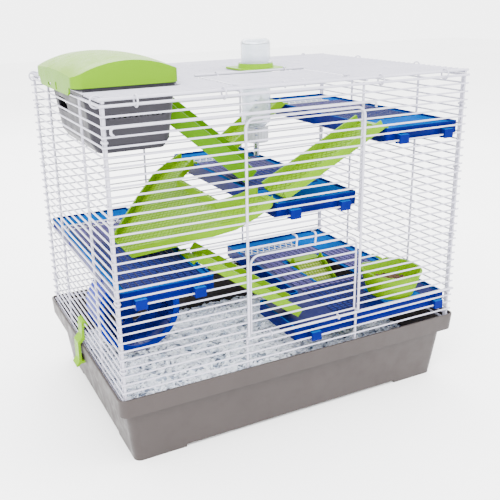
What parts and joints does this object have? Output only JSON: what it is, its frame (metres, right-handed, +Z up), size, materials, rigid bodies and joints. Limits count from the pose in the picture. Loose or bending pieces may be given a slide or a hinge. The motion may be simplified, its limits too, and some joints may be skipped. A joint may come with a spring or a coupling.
{
  "type": "hamster cage",
  "caption": "Wire hamster cage on a deep plastic tray, with shelves, ramps, a lidded pod in the roof, a top-mounted drinking bottle, an exercise wheel and a food bowl.",
  "frame": {"origin": "on the ground at the middle of the tray's footprint", "axes": "+X to the right along the front, +Y to the back, +Z up"},
  "size_m": [0.519, 0.3512, 0.482],
  "materials": {
    "tray": "satin",
    "bedding": "matte",
    "wire": "gloss",
    "lime": "gloss",
    "leaf": "gloss",
    "blue": "gloss",
    "smoke": "gloss",
    "bottle_clear": "gloss",
    "white_cap": "satin",
    "steel": "brushed",
    "feed": "matte"
  },
  "bodies": {
    "base": {"base_tray": "tray", "bedding": "bedding", "front_panel": "wire", "back_panel": "wire", "left_panel": "wire", "right_panel": "wire", "roof_panel": "wire", "corner_bands": "wire", "edge_rings": "wire", "shelf_upper": "blue", "shelf_middle": "blue", "shelf_lower": "blue", "shelf_ground": "blue", "ramp_front": "lime", "ramp_back": "lime", "ramp_lower": "lime", "ramp_pod": "leaf", "ramp_hatch": "lime", "ramp_fork": "lime", "pod_basket": "smoke", "pod_hinge_pin": "steel", "bottle_collar": "lime", "wheel_axle": "steel", "wheel_stand": "blue"},
    "front_door_body": {"front_door": "wire"},
    "roof_door_body": {"roof_door": "wire"},
    "pod_lid_body": {"pod_lid": "lime"},
    "left_clip_body": {"side_clip_left": "tray"},
    "right_clip_body": {"side_clip_right": "tray"},
    "bottle_body": {"bottle": "bottle_clear", "bottle_cap": "white_cap", "spout_tube": "steel", "spout_ball": "steel"},
    "wheel_body": {"wheel": "blue"},
    "bowl_body": {"food_bowl": "lime", "feed": "feed"}
  },
  "joints": [
    {"name": "front_door_hinge", "type": "hinge", "parent": "base", "child": "front_door_body", "pos_m": [0, -0.172, 0.13804], "axis": [1, 0, 0], "range_deg": [0, 165]},
    {"name": "roof_door_hinge", "type": "hinge", "parent": "base", "child": "roof_door_body", "pos_m": [0, -0.032, 0.4427], "axis": [-1, 0, 0], "range_deg": [0, 90]},
    {"name": "pod_lid_hinge", "type": "hinge", "parent": "base", "child": "pod_lid_body", "pos_m": [-0.1225, 0, 0.448], "axis": [0, 1, 0], "range_deg": [0, 88]},
    {"name": "left_clip_hinge", "type": "hinge", "parent": "base", "child": "left_clip_body", "pos_m": [-0.243, 0, 0.12746], "axis": [0, 1, 0], "range_deg": [0, 80]},
    {"name": "right_clip_hinge", "type": "hinge", "parent": "base", "child": "right_clip_body", "pos_m": [0.243, 0, 0.12746], "axis": [0, -1, 0], "range_deg": [0, 80]},
    {"name": "bottle_lift", "type": "slide", "parent": "base", "child": "bottle_body", "axis": [0, 0, 1], "range_m": [0, 0.15]},
    {"name": "wheel_spin", "type": "hinge", "parent": "base", "child": "wheel_body", "pos_m": [-0.17, 0, 0.134], "axis": [0, 1, 0], "continuous": true},
    {"name": "bowl_lift", "type": "slide", "parent": "base", "child": "bowl_body", "axis": [0, 0, 1], "range_m": [0, 0.012]}
  ]
}
